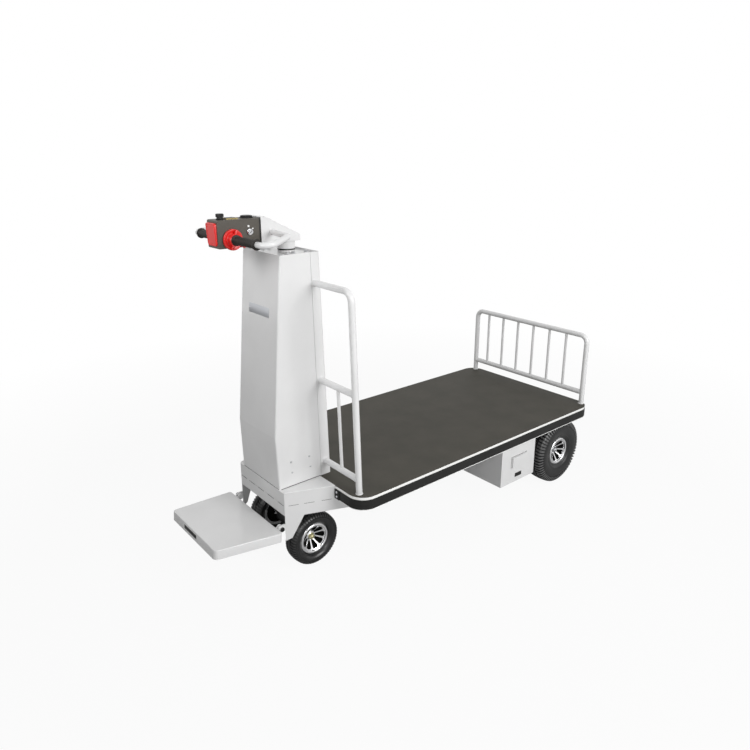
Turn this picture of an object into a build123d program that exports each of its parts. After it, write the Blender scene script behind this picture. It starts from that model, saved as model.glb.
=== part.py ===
from build123d import *
import math
import os

os.makedirs("parts", exist_ok=True)

# Stand-on electric platform truck, in millimetres, +Z up.
# Lengths along X are measured from the front edge of the deck, where the nose and the column stand.
# Positive X runs to the rear rail. The operator stands on the pedal at negative X and looks along +X,
# so their left hand is at positive Y. Everything is moved to the middle of the truck when it is written.

# Deck
deck_length = 1520.0
deck_width = 808.0
deck_top = 371.0
deck_corner = 72.0
mat_thick = 2.0
sheet_thick = 3.0
edge_height = 57.0
trim_set_back = 1.5
rubber_depth = 7.0
trim_web = 3.0
upper_lip = 11.0
lower_lip = 4.0
mat_front = 72.0
mat_rear_margin = 52.0
frame_tube_width = 40.0
frame_rail_side_inset = 154.0
cross_count = 4
side_member_width = 28.0
seat_gap = 0.2

# Nose
nose_length = 187.0
nose_front_half = 170.0
nose_flare = 21.6
nose_sheet = 3.0
nose_edge_round = 4.0
seam_slot_height = 2.2
apron_height = 43.0
arch_drop = 49.0
tab_drop = 151.0
tab_rear_drop = 143.0
tab_run = 24.0
arch_front_run = 71.0
plate_tail = 120.0
end_plate_width = 28.0
end_plate_proud = 3.0
bearing_floor_drop = 43.0
bearing_floor_thick = 6.0

# Column
column_rise = 901.0
column_bend_rise = 215.0
column_sheet = 2.5
column_corner = 7.0
column_front_foot = -188.0
column_front_bend = -195.0
column_front_top = -138.0
column_rear_foot = 56.0
column_rear_top = 32.0
column_half_foot = 141.0
column_half_top = 131.5
column_seam_foot = 8.0
column_seam_top = -9.0
column_seam_gap = 1.2
top_plate_drop = 6.0
top_plate_thick = 4.0

# Rails
tube_radius = 12.5
bar_radius = 6.5
rail_bend = 38.0
rear_rail_inset = 25.0
rear_rail_side_inset = 42.0
rear_rail_rise = 359.0
rear_low_rail_rise = 60.0
rear_bar_count = 6
rear_bar_shift = 18.0
front_rail_foot = 34.0
front_rail_lean = 29.0
front_rail_side_inset = 49.0
front_rail_rise = 787.0
front_mid_rail_rise = 405.0
front_low_rail_rise = 59.0
front_bar_share = 0.53

# Battery box
battery_front = 855.0
battery_length = 245.0
battery_side_inset = 24.0
battery_depth = 201.0
battery_sheet = 3.0
battery_cover_front = 924.0
battery_cover_length = 115.0
battery_cover_rise = 84.0
battery_cover_height = 48.0
battery_cover_proud = 12.0
battery_cover_thin = 3.0
battery_block_side_room = 12.0
battery_block_height = 165.0

# Wheels
front_radius = 112.0
front_width = 74.0
front_lip_radius = 66.0
front_lip_reach = 21.0
front_wheel_half = 142.0
rear_radius = 165.0
rear_width = 100.0
rear_lip_radius = 69.0
rear_lip_reach = 38.0
rear_tyre_side_inset = 13.0
rear_axle_x = 1302.0
rear_spoke_turn = 11.0
side_wall_share = 0.75
shoulder_share = 0.89
shoulder_inset = 2.5
tread_inset = 11.0
crown_drop = 2.5
bead_gap = 0.5
rim_seat_drop = 8.0
lip_bevel = 3.0
lip_step = 5.0
hub_recess = 26.0
hub_shoulder = 3.0
hub_web = 4.0
spoke_root = 5.0
spoke_tip = 2.0
spoke_width_in = 4.5
spoke_width_out = 5.5
window_round_in = 3.0
window_round_out = 8.0
rim_flange = 4.0
rim_wall = 4.0
rim_dish_thick = 5.0
hub_radius = 14.0
spoke_count = 9
front_stub_radius = 8.0
rear_stub_radius = 12.0
running_gap = 0.3

# Steering
steer_x = -26.0
axle_lead = 22.0
shaft_radius = 17.0
collar_radius = 33.0
collar_height = 29.0
seal_height = 5.0
axle_beam_size = 40.0
axle_beam_half = 98.0
turntable_radius = 88.0
turntable_thick = 10.0
turntable_tyre_room = 8.0
pedestal_length = 76.0
pedestal_half = 52.0
turntable_ring_radius = 75.0
lower_bearing_radius = 42.0
upper_bearing_radius = 32.0
bearing_proud = -2.0

# Tiller head
axis_to_bracket = 114.0
bracket_rear_reach = 37.0
bracket_half = 40.0
bracket_rear_height = 24.0
bracket_front_height = 96.0
bracket_flat = 18.0
bracket_sheet = 3.0
box_length = 169.0
box_half = 37.0
box_height = 97.0
box_drop = 4.5
box_round = 6.0
belly_thick_top = 10.0
belly_thick_low = 4.0
belly_half = 33.0
belly_height = 79.0
handle_axis_reach = 240.0
handle_axis_rise = 25.0
handle_radius = 10.5
loop_out = 279.0
loop_back_out = 191.0
loop_back_inset = 16.0
loop_end_inset = 45.0
loop_end_rise = 40.0
loop_bend = 28.0
grip_radius = 15.0
grip_start = 64.0
grip_end = 206.0
grip_collar_radius = 19.0
grip_collar_width = 6.0
butterfly_radius = 37.0
butterfly_thick = 10.0
butterfly_hub_radius = 20.0
butterfly_hub_length = 14.0
butterfly_wing = 4.0
sleeve_gap = 0.15
knob_reach = 31.0
knob_radius = 14.0
knob_height = 20.0
stop_reach = 133.0
stop_radius = 24.0
stop_height = 9.0
meter_reach = 46.0
meter_length = 44.0
meter_half = 19.0
meter_height = 4.0
key_lead = 44.0
key_rise = 47.0
key_radius = 9.0
key_proud = 8.0

# Pedal, level in its own frame and then tipped up about its pivot
pedal_length = 270.0
pedal_outer_half = 183.0
pedal_inner_half = 209.0
pedal_depth = 37.0
pedal_corner = 24.0
pedal_sheet = 3.0
pedal_tip = 4.9
pivot_lead = 18.0
pivot_drop = 148.0
pivot_to_pan = 17.5
pivot_to_top = 5.5
lug_radius = 14.0
lug_thick = 6.0
ear_thick = 8.0
ear_gap = 5.0
ear_radius = 12.0
pin_radius = 6.0
pin_head_radius = 10.0
pin_head_height = 5.0

# Levels and places that follow from the sizes above
deck_half = deck_width / 2
column_top = deck_top + column_rise
sheet_top = deck_top - mat_thick
frame_top = sheet_top - sheet_thick
edge_low = deck_top - edge_height
ring_depth = rubber_depth + trim_web
frame_rail_spacing = deck_width - 2 * frame_rail_side_inset
rail_in = frame_rail_spacing / 2 - frame_tube_width / 2
rail_out = rail_in + frame_tube_width
side_out = deck_half - ring_depth
rear_rail_half = deck_half - rear_rail_side_inset
front_rail_half = deck_half - front_rail_side_inset
front_bar_half = column_half_top + front_bar_share * (front_rail_half - column_half_top)
battery_half = deck_half - battery_side_inset
battery_floor = edge_low - battery_depth
battery_cover_low = battery_floor + battery_cover_rise
rear_wheel_half = deck_half - rear_tyre_side_inset - rear_width / 2
side_in = side_out - side_member_width
first_cross_end = ring_depth + frame_tube_width
last_cross_start = deck_length - ring_depth - frame_tube_width
wheel_well = rear_axle_x - rear_radius - frame_tube_width
flare = math.radians(nose_flare)
nose_front = -nose_length
nose_rear = trim_set_back
pivot_x = nose_front - pivot_lead
front_axle_x = steer_x - axle_lead
pivot_z = deck_top - pivot_drop
tip = math.radians(pedal_tip)
pedal_reach = pivot_to_pan + pedal_length
front_end = pivot_x - pedal_reach * math.cos(tip) + (pivot_to_top - pedal_depth) * math.sin(tip)
middle = (front_end + deck_length) / 2
table_top = 2 * front_radius + turntable_tyre_room + turntable_thick
collar_low = column_top + bearing_proud + seal_height + running_gap
bracket_low = collar_low + collar_height
bracket_front_reach = handle_axis_reach - axis_to_bracket
loop_back_reach = bracket_front_reach - loop_back_inset
loop_end_reach = bracket_front_reach - loop_end_inset


def block(x0, x1, y0, y1, z0, z1):
    """A plain box between two corners."""
    centre = Pos((x0 + x1) / 2, (y0 + y1) / 2, (z0 + z1) / 2)
    return centre * Box(x1 - x0, y1 - y0, z1 - z0)


def rod(start, end, radius):
    """A round bar from one point to another."""
    line = Vector(*end) - Vector(*start)
    return extrude(Plane(origin=start, z_dir=line) * Circle(radius), line.length)


def upright(x, y, z0, z1, radius):
    """A round bar standing on the XY plane."""
    return Pos(x, y, (z0 + z1) / 2) * Cylinder(radius, z1 - z0)


def bent_tube(points, radius, bend):
    """A round bar along straight runs joined by arcs of one radius."""
    path = FilletPolyline(*points, radius=bend)
    return sweep(Plane(origin=path @ 0, z_dir=path % 0) * Circle(radius), path=path)


def across(shape):
    """The same piece on the other side of the truck."""
    return mirror(shape, about=Plane.XZ)


def pair(shape):
    """One piece for each side, as two solids."""
    return Compound([shape, across(shape)])


def deck_slab(inset, z0, z1):
    """The deck's rounded outline, drawn in by an inset, between two heights."""
    outline = RectangleRounded(deck_length - 2 * inset, deck_width - 2 * inset, deck_corner - inset)
    return Pos(deck_length / 2, 0, z0) * extrude(outline, z1 - z0)


def prism(points, half):
    """A side outline of x and z points, as wide as half on each side of the middle."""
    outline = Plane.XZ * make_face(Polyline(*points, close=True))
    return extrude(outline, half, both=True)


def nose_half(x):
    """Half the nose's width at x."""
    return nose_front_half + (x - nose_front) * math.tan(flare)


def nose_slab(x0, x1, inset, z0, z1):
    """A plate of the nose's flared plan between two heights, drawn in at its sides."""
    side = inset / math.cos(flare)
    wide0 = nose_half(x0) - side
    wide1 = nose_half(x1) - side
    outline = Polyline((x0, -wide0), (x1, -wide1), (x1, wide1), (x0, wide0), close=True)
    return Pos(0, 0, z0) * extrude(make_face(outline), z1 - z0)


def deck_pieces():
    """Mat, sheet, edge channel, rubber, end plates and the welded frame below."""
    trim = deck_slab(trim_set_back, edge_low, sheet_top) - deck_slab(ring_depth, edge_low, sheet_top)
    groove_low = edge_low + lower_lip
    groove_high = sheet_top - upper_lip
    trim -= deck_slab(0, groove_low, groove_high) - deck_slab(rubber_depth, groove_low, groove_high)
    rubber = deck_slab(0, groove_low, groove_high) - deck_slab(rubber_depth, groove_low, groove_high)
    plate_inner = nose_half(nose_rear) + seat_gap
    plate_outer = plate_inner + end_plate_width
    rubber -= block(-1, rubber_depth + 1, -plate_outer, plate_outer, groove_low, groove_high)
    plate = block(-end_plate_proud, rubber_depth, plate_inner, plate_outer, groove_low, groove_high)
    mat = deck_slab(trim_set_back, sheet_top, deck_top)
    mat &= block(mat_front, deck_length - mat_rear_margin, -deck_width, deck_width, sheet_top, deck_top)
    sheet = deck_slab(ring_depth, frame_top, sheet_top)
    save("deck_mat", mat)
    save("deck_sheet", sheet)
    save("deck_edge_trim", trim)
    save("bumper_rubber", rubber)
    save("bumper_end_plates", pair(plate))

    save("frame_long_members", Compound(long_members()))
    save("frame_cross_members", Compound(cross_members()))


def long_members():
    """Two rails that run the length of the deck, and a member along each side ahead of the rear wheels."""
    members = []
    for side in (-1, 1):
        inner, outer = sorted((side * rail_in, side * rail_out))
        members.append(block(first_cross_end, last_cross_start, inner, outer, edge_low, frame_top))
        inner, outer = sorted((side * side_in, side * side_out))
        members.append(block(deck_corner, wheel_well, inner, outer, edge_low, frame_top))
    return members


def cross_members():
    """End members across the rails, and rows of three between the rails and the sides."""
    end_half = deck_half - deck_corner
    members = []
    for x in (first_cross_end - frame_tube_width, last_cross_start):
        members.append(block(x, x + frame_tube_width, -end_half, end_half, edge_low, frame_top))
    pitch = (wheel_well - deck_corner - frame_tube_width) / (cross_count - 1)
    spans = ((-side_in, -rail_out), (-rail_in, rail_in), (rail_out, side_in))
    for index in range(cross_count):
        x = deck_corner + index * pitch
        for low, high in spans:
            members.append(block(x, x + frame_tube_width, low, high, edge_low, frame_top))
    return members


def nose_pieces():
    """Tray, side plates with wheel cut-outs, front apron, bearing floor and pedal lugs."""
    tray = nose_slab(nose_front, nose_rear, 0, edge_low, deck_top)
    top_edges = tray.faces().sort_by(Axis.Z)[-1].edges().sort_by(Axis.X)
    tray = fillet(top_edges[:-1], nose_edge_round)
    inside = nose_slab(nose_front + nose_sheet, nose_rear, nose_sheet, edge_low, deck_top - nose_sheet)
    tray -= inside
    tray -= upright(steer_x, 0, edge_low, deck_top, collar_radius)
    for low_share, high_share in ((0.69, 0.88), (-0.09, 0.56), (-0.58, -0.18), (-0.94, -0.66)):
        tray -= block(
            nose_front - nose_sheet,
            nose_front + 2 * nose_sheet,
            low_share * nose_front_half,
            high_share * nose_front_half,
            edge_low,
            edge_low + seam_slot_height,
        )
    save("nose_tray", tray)

    along = 1 / math.cos(flare)
    plate_x = (0, 0, tab_run, arch_front_run, nose_length + plate_tail, nose_length + plate_tail)
    drops = (0, tab_drop, tab_rear_drop, arch_drop, arch_drop, 0)
    outline = [(x * along, edge_low - drop) for x, drop in zip(plate_x, drops)]
    wall = Plane(
        origin=(nose_front, -nose_front_half, 0),
        x_dir=(math.cos(flare), -math.sin(flare), 0),
        z_dir=(-math.sin(flare), -math.cos(flare), 0),
    )
    side = extrude(wall * make_face(Polyline(*outline, close=True)), -nose_sheet)
    save("nose_sides", pair(side))

    apron = nose_slab(nose_front, nose_front + nose_sheet, nose_sheet, edge_low - apron_height, edge_low)
    save("nose_apron", apron)

    floor_top = edge_low - bearing_floor_drop + bearing_floor_thick
    floor_low = edge_low - bearing_floor_drop
    ring_low = table_top + running_gap
    floor = nose_slab(nose_front + nose_sheet, plate_tail, nose_sheet, floor_low, floor_top)
    floor += upright(steer_x, 0, ring_low, floor_low, turntable_ring_radius)
    floor += upright(steer_x, 0, floor_top, edge_low, lower_bearing_radius)
    floor -= upright(steer_x, 0, ring_low, edge_low, shaft_radius + running_gap)
    save("bearing_floor", floor)

    lug_out = nose_front_half
    lug_in = lug_out - lug_thick
    lug = block(pivot_x, nose_front, lug_in, lug_out, pivot_z - lug_radius, pivot_z + lug_radius)
    lug += rod((pivot_x, lug_in, pivot_z), (pivot_x, lug_out, pivot_z), lug_radius)
    lug -= rod((pivot_x, lug_in - 1, pivot_z), (pivot_x, lug_out + 1, pivot_z), pin_radius + running_gap)
    save("pedal_lugs", pair(lug))


def column_solid(inset):
    """The column's tapered outer form, drawn in by an inset."""
    bend_z = deck_top + column_bend_rise
    share = column_bend_rise / (column_top - deck_top)
    rear_bend = column_rear_foot + (column_rear_top - column_rear_foot) * share
    half_bend = column_half_foot + (column_half_top - column_half_foot) * share
    levels = (
        (deck_top, column_front_foot, column_rear_foot, column_half_foot),
        (bend_z, column_front_bend, rear_bend, half_bend),
        (column_top, column_front_top, column_rear_top, column_half_top),
    )
    sections = []
    for z, front, rear, half in levels:
        plan = RectangleRounded(rear - front - 2 * inset, 2 * (half - inset), column_corner - inset)
        sections.append(Pos((front + rear) / 2, 0, z) * plan)
    return loft(sections, ruled=True)


def column_pieces():
    """Two sheet covers, the inset top plate, the upper bearing and its seal."""
    inside = column_solid(column_sheet)
    shell = column_solid(0) - inside
    far = 400.0
    rise = column_top - deck_top
    seam_slope = (column_seam_top - column_seam_foot) / rise
    seam_low = column_seam_foot - seam_slope * far
    seam_high = column_seam_top + seam_slope * far
    low = deck_top - far
    high = column_top + far
    front_side = prism([(-far, low), (seam_low, low), (seam_high, high), (-far, high)], far)
    save("column_front_cover", shell & front_side)
    save("column_rear_cover", shell - front_side - Pos(column_seam_gap, 0, 0) * front_side)

    plate_top = column_top - top_plate_drop
    plate = inside & block(-far, far, -far, far, plate_top - top_plate_thick, plate_top)
    plate -= upright(steer_x, 0, plate_top - top_plate_thick, plate_top, shaft_radius + running_gap)
    bearing_top = column_top + bearing_proud
    bearing = upright(steer_x, 0, plate_top, bearing_top, upper_bearing_radius)
    bearing -= upright(steer_x, 0, plate_top, bearing_top, shaft_radius + running_gap)
    save("column_top_plate", plate + bearing)
    seal = upright(steer_x, 0, bearing_top, bearing_top + seal_height, collar_radius)
    seal -= upright(steer_x, 0, bearing_top, bearing_top + seal_height, shaft_radius + running_gap)
    save("shaft_seal", seal)


def rear_rail_pieces():
    """Hoop, lower rail and upright bars at the rear edge."""
    x = deck_length - rear_rail_inset
    top = deck_top + rear_rail_rise
    corners = [(x, -rear_rail_half, sheet_top), (x, -rear_rail_half, top)]
    corners += [(x, rear_rail_half, top), (x, rear_rail_half, sheet_top)]
    hoop = bent_tube(corners, tube_radius, rail_bend)
    low = deck_top + rear_low_rail_rise
    rail = rod((x, -rear_rail_half, low), (x, rear_rail_half, low), tube_radius) - hoop
    bars = []
    pitch = 2 * rear_rail_half / (rear_bar_count + 1)
    for index in range(rear_bar_count):
        y = rear_bar_shift - rear_rail_half + (index + 1) * pitch
        bars.append(upright(x, y, low, top, bar_radius) - hoop - rail)
    save("rear_rail_hoop", hoop)
    save("rear_rail_bars", Compound([rail] + bars))
    return [hoop]


def front_rail_pieces():
    """A leaning rail each side of the column: hoop, two cross rails and one bar."""
    column = column_solid(0)
    slope = front_rail_lean / front_rail_rise
    root = column_half_top - tube_radius

    def place(half, rise):
        return (front_rail_foot - slope * rise, half, deck_top + rise)

    corners = [place(front_rail_half, sheet_top - deck_top), place(front_rail_half, front_rail_rise)]
    corners.append(place(root, front_rail_rise))
    foot_level = block(-deck_length, deck_length, -deck_width, deck_width, 0, sheet_top)
    hoop = bent_tube(corners, tube_radius, rail_bend) - column - foot_level
    rails = []
    for rise in (front_mid_rail_rise, front_low_rail_rise):
        rails.append(rod(place(root, rise), place(front_rail_half, rise), tube_radius) - hoop - column)
    bar = rod(place(front_bar_half, front_low_rail_rise), place(front_bar_half, front_mid_rail_rise), bar_radius)
    for rail in rails:
        bar -= rail
    save("front_rail_hoops", pair(hoop))
    pieces = rails + [bar]
    save("front_rail_crosses", Compound(pieces + [across(piece) for piece in pieces]))
    return [hoop, across(hoop)]


def mat_end_pieces(hoops):
    """Mat strips under the column and the rails, cut out round the feet of the hoops."""
    strips = []
    for start, end in ((0, mat_front), (deck_length - mat_rear_margin, deck_length)):
        strip = deck_slab(trim_set_back, sheet_top, deck_top)
        strip &= block(start, end, -deck_width, deck_width, sheet_top, deck_top)
        for hoop in hoops:
            strip -= hoop
        strips.append(strip)
    save("deck_mat_ends", Compound(strips))


def battery_pieces():
    """A sheet box hung under the deck, its side cover and the battery block inside."""
    rear = battery_front + battery_length
    case = block(battery_front, rear, -battery_half, battery_half, battery_floor, edge_low)
    inner_front = battery_front + battery_sheet
    inner_half = battery_half - battery_sheet
    inner_low = battery_floor + battery_sheet
    case -= block(inner_front, rear - battery_sheet, -inner_half, inner_half, inner_low, edge_low)
    save("battery_box", case)
    room = battery_sheet + battery_block_side_room
    half = battery_half - room
    top = inner_low + battery_block_height
    save("battery_block", block(battery_front + room, rear - room, -half, half, inner_low, top))
    cover_end = battery_cover_front + battery_cover_length
    cover_top = battery_cover_low + battery_cover_height
    cover_out = battery_half + battery_cover_proud
    plan = Polyline(
        (battery_cover_front, -battery_half),
        (battery_cover_front, -cover_out),
        (cover_end, -battery_half - battery_cover_thin),
        (cover_end, -battery_half),
        close=True,
    )
    cover = Pos(0, 0, battery_cover_low) * extrude(make_face(plan), cover_top - battery_cover_low)
    save("battery_cover", cover)


def rear_axle_pieces():
    """Rigid drive axle: tube with stubs, gear case, motor and hanger plates."""
    tube_size = 28.0
    hanger_thick = 12.0
    hanger_length = 80.0
    case_radius = 66.0
    case_width = 70.0
    motor_radius = 58.0
    motor_length = 190.0
    motor_lead = 112.0
    tyre_inner = rear_wheel_half - rear_width / 2
    tube_half = tyre_inner - 12.0
    stub_half = rear_wheel_half + wheel_hub_face(rear_lip_reach)
    tube = rod((rear_axle_x, -tube_half, rear_radius), (rear_axle_x, tube_half, rear_radius), tube_size)
    tube += rod((rear_axle_x, -stub_half, rear_radius), (rear_axle_x, stub_half, rear_radius), rear_stub_radius)
    save("rear_axle", tube)

    motor_x = rear_axle_x - motor_lead
    case = block(motor_x, rear_axle_x, 0, case_width, rear_radius - case_radius, rear_radius + case_radius)
    for x in (motor_x, rear_axle_x):
        case += rod((x, 0, rear_radius), (x, case_width, rear_radius), case_radius)
    case -= tube
    save("drive_gear_case", case)
    motor = rod((motor_x, -motor_length, rear_radius), (motor_x, 0, rear_radius), motor_radius)
    save("drive_motor", motor)

    middle_y = frame_rail_spacing / 2
    hanger = block(
        rear_axle_x - hanger_length / 2,
        rear_axle_x + hanger_length / 2,
        middle_y - hanger_thick / 2,
        middle_y + hanger_thick / 2,
        rear_radius - tube_size - hanger_thick,
        edge_low,
    )
    save("axle_hangers", pair(hanger - tube))


def wheel_hub_face(lip_reach):
    """How far the front of the hub stands out from the middle of the wheel."""
    return lip_reach - hub_recess


def tyre_solid(radius, width, lip_radius, lip_reach):
    """A pneumatic tyre of straight-sided section, lying flat with its axis along Z."""
    seat = lip_radius - rim_seat_drop
    upper = [
        (seat, lip_reach - rim_flange),
        (lip_radius + bead_gap, lip_reach - rim_flange),
        (side_wall_share * radius, width / 2),
        (shoulder_share * radius, width / 2 - shoulder_inset),
        (radius - crown_drop, width / 2 - tread_inset),
    ]
    lower = [(r, -z) for r, z in reversed(upper)]
    section = Polyline(*[(r, 0, z) for r, z in upper + [(radius, 0)] + lower], close=True)
    return revolve(make_face(section), Axis.Z)


def rim_solid(lip_radius, lip_reach, stub_radius):
    """A deep dished rim with open spokes, its axis along Z and its outer face up."""
    seat = lip_radius - rim_seat_drop
    well = seat - rim_wall
    bead_half = lip_reach - rim_flange
    hub_face = wheel_hub_face(lip_reach)
    dish_out = lip_reach - lip_step
    dish_in = hub_face - hub_shoulder
    root = hub_radius + hub_web
    bore = stub_radius + running_gap
    points = [
        (seat, -bead_half),
        (lip_radius, -bead_half),
        (lip_radius, -lip_reach),
        (well, -lip_reach),
        (well, dish_out - rim_dish_thick),
        (root, dish_in - rim_dish_thick),
        (hub_radius, -lip_reach),
        (bore, -lip_reach),
        (bore, hub_face),
        (hub_radius, hub_face),
        (root, dish_in),
        (well, dish_out),
        (well, lip_reach),
        (lip_radius, lip_reach - lip_bevel),
        (lip_radius, bead_half),
        (seat, bead_half),
    ]
    outline = Polyline(*[(r, 0, z) for r, z in points], close=True)
    rim = revolve(make_face(outline), Axis.Z)
    window_in = hub_radius + spoke_root
    window_out = well - spoke_tip
    half_step = math.pi / spoke_count
    half_in = window_in * math.sin(half_step) - spoke_width_in / 2
    half_out = window_out * math.sin(half_step) - spoke_width_out / 2
    corners = ((window_in, -half_in), (window_out, -half_out), (window_out, half_out), (window_in, half_in))
    opening = make_face(Polyline(*corners, close=True))
    inner_corners = opening.vertices().sort_by(Axis.X)[:2]
    opening = fillet(inner_corners, window_round_in)
    outer_corners = opening.vertices().group_by(Axis.X)[-1]
    opening = fillet(outer_corners, window_round_out)
    cutter = extrude(Pos(0, 0, -lip_reach) * opening, 2 * lip_reach)
    for index in range(spoke_count):
        rim -= Rot(0, 0, index * 360 / spoke_count) * cutter
    return rim


def wheel_pieces():
    """Four tyres on their rims; left and right wheels face outward."""
    front_tyre = tyre_solid(front_radius, front_width, front_lip_radius, front_lip_reach)
    front_rim = rim_solid(front_lip_radius, front_lip_reach, front_stub_radius)
    rear_tyre = tyre_solid(rear_radius, rear_width, rear_lip_radius, rear_lip_reach)
    rear_rim = Rot(0, 0, rear_spoke_turn) * rim_solid(rear_lip_radius, rear_lip_reach, rear_stub_radius)
    for side, sign in (("left", 1), ("right", -1)):
        turned = Rot(-sign * 90, 0, 0)
        front = Pos(front_axle_x, sign * front_wheel_half, front_radius) * turned
        rear = Pos(rear_axle_x, sign * rear_wheel_half, rear_radius) * turned
        save(f"front_tyre_{side}", front * front_tyre)
        save(f"front_rim_{side}", front * front_rim)
        save(f"rear_tyre_{side}", rear * rear_tyre)
        save(f"rear_rim_{side}", rear * rear_rim)


def steering_pieces():
    """Shaft with its collar, turntable, pedestal and the front axle that it turns."""
    plate_low = table_top - turntable_thick
    shaft = upright(steer_x, 0, table_top, bracket_low, shaft_radius)
    shaft += upright(steer_x, 0, collar_low, bracket_low, collar_radius)
    save("steering_shaft", shaft)

    beam_half = axle_beam_size / 2
    beam_top = front_radius + beam_half
    length = pedestal_length / 2
    axle = upright(steer_x, 0, plate_low, table_top, turntable_radius)
    axle += block(
        front_axle_x - length,
        front_axle_x + length,
        -pedestal_half,
        pedestal_half,
        beam_top,
        plate_low,
    )
    axle += block(
        front_axle_x - beam_half,
        front_axle_x + beam_half,
        -axle_beam_half,
        axle_beam_half,
        front_radius - beam_half,
        beam_top,
    )
    stub = front_wheel_half + wheel_hub_face(front_lip_reach)
    axle += rod((front_axle_x, -stub, front_radius), (front_axle_x, stub, front_radius), front_stub_radius)
    save("front_axle", axle)


def tiller_pieces():
    """Wedge bracket, control box, belly button, butterflies, handle loops, grips and top controls."""
    rear = steer_x + bracket_rear_reach
    front = steer_x - bracket_front_reach
    rear_top = bracket_low + bracket_rear_height
    front_top = bracket_low + bracket_front_height
    wall = bracket_sheet
    ridge = front + bracket_flat
    outer = [
        (front, bracket_low),
        (rear, bracket_low),
        (rear, rear_top),
        (ridge, front_top),
        (front, front_top),
    ]
    inner_rear = rear - wall
    inner = [
        (front - 1, bracket_low + wall),
        (inner_rear, bracket_low + wall),
        (inner_rear, rear_top - wall),
        (ridge, front_top - wall),
        (front - 1, front_top - wall),
    ]
    bracket = prism(outer, bracket_half) - prism(inner, bracket_half - wall)
    save("tiller_bracket", bracket)

    box_front = front - box_length
    box_low = bracket_low - box_drop
    box_top = box_low + box_height
    case = block(box_front, front, -box_half, box_half, box_low, box_top)
    case = fillet(case.edges().filter_by(Axis.Y), box_round)
    save("control_box", case)

    belly_low = box_low + (box_height - belly_height) / 2
    belly_high = belly_low + belly_height
    belly_outline = [
        (box_front, belly_low),
        (box_front - belly_thick_low, belly_low),
        (box_front - belly_thick_top, belly_high),
        (box_front, belly_high),
    ]
    belly = prism(belly_outline, belly_half)
    belly = fillet(belly.faces().sort_by(Axis.X)[0].edges(), belly_thick_low / 2)
    save("belly_button", belly)

    axis_x = steer_x - handle_axis_reach
    axis_z = bracket_low + handle_axis_rise
    end_z = bracket_low + loop_end_rise
    corners = [
        (axis_x, -box_half, axis_z),
        (axis_x, -loop_out, axis_z),
        (steer_x - loop_back_reach, -loop_back_out, end_z),
        (steer_x - loop_end_reach, -bracket_half, end_z),
    ]
    sides = block(-deck_length, deck_length, -bracket_half, bracket_half, bracket_low, front_top)
    sides -= block(-deck_length, front, -deck_width, deck_width, bracket_low, front_top)
    loop = bent_tube(corners, handle_radius, loop_bend) - sides
    save("handle_loops", pair(loop))

    sleeve = handle_radius + sleeve_gap
    disc_out = box_half + butterfly_thick
    hub_out = disc_out + butterfly_hub_length
    butterfly = rod((axis_x, -box_half, axis_z), (axis_x, -disc_out, axis_z), butterfly_radius)
    butterfly += rod((axis_x, -box_half, axis_z), (axis_x, -hub_out, axis_z), butterfly_hub_radius)
    wing_low = axis_z - butterfly_radius
    wing_high = axis_z + butterfly_radius
    wing = butterfly_wing
    butterfly += block(axis_x - wing, axis_x + wing, -hub_out, -box_half, wing_low, wing_high)
    butterfly -= rod((axis_x, -box_half + 1, axis_z), (axis_x, -hub_out - 1, axis_z), sleeve)
    save("throttle_butterflies", pair(butterfly))

    grip = rod((axis_x, -grip_start, axis_z), (axis_x, -grip_end, axis_z), grip_radius)
    for y in (grip_start, grip_end - grip_collar_width):
        collar_end = (axis_x, -y - grip_collar_width, axis_z)
        grip += rod((axis_x, -y, axis_z), collar_end, grip_collar_radius)
    grip -= rod((axis_x, -grip_start + 1, axis_z), (axis_x, -grip_end - 1, axis_z), sleeve)
    save("hand_grips", pair(grip))

    knob_x = box_front + knob_reach
    stop_x = box_front + stop_reach
    knob = upright(knob_x, 0, box_top, box_top + knob_height, knob_radius)
    stop = upright(stop_x, 0, box_top, box_top + stop_height, stop_radius)
    save("head_buttons", Compound([knob, stop]))
    meter_front = box_front + meter_reach
    meter_top = box_top + meter_height
    meter = block(meter_front, meter_front + meter_length, -meter_half, meter_half, box_top, meter_top)
    save("charge_meter", meter)
    key_x = front - key_lead
    key_z = bracket_low + key_rise
    key_out = box_half + key_proud
    save("key_switch", rod((key_x, -box_half, key_z), (key_x, -key_out, key_z), key_radius))


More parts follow.
